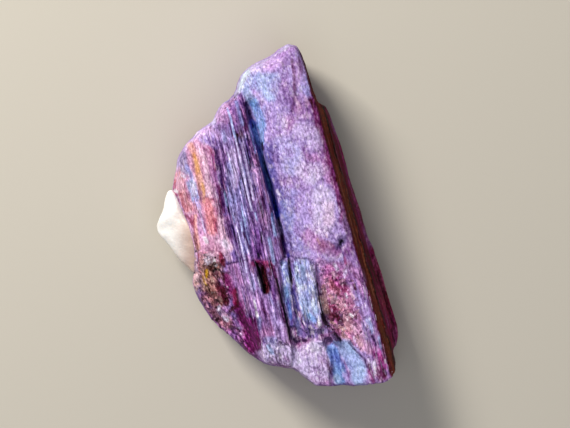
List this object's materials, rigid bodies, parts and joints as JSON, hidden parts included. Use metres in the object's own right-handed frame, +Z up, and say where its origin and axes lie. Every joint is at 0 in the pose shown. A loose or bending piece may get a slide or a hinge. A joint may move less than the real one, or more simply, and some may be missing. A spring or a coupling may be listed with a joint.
{
  "type": "mineral specimen",
  "caption": "Rough chunk of intergrown, lengthwise-ridged crystals with a deep groove, broken ends and a small angular knob grown into one side; lies flat for display or study.",
  "frame": {"origin": "under the middle of the stone's box, on the surface that it lies on", "axes": "+Z is up, away from the underside; +Y is the stone's length, towards the pointed end; +X is towards the steep straight side"},
  "size_m": [0.044, 0.0622, 0.0179],
  "materials": {
    "tourmaline": "rough natural crystal, pink to blue-violet",
    "quartz": "milky white quartz"
  },
  "bodies": {
    "root": {"tourmaline": "tourmaline", "quartz_knob": "quartz"}
  },
  "joints": []
}
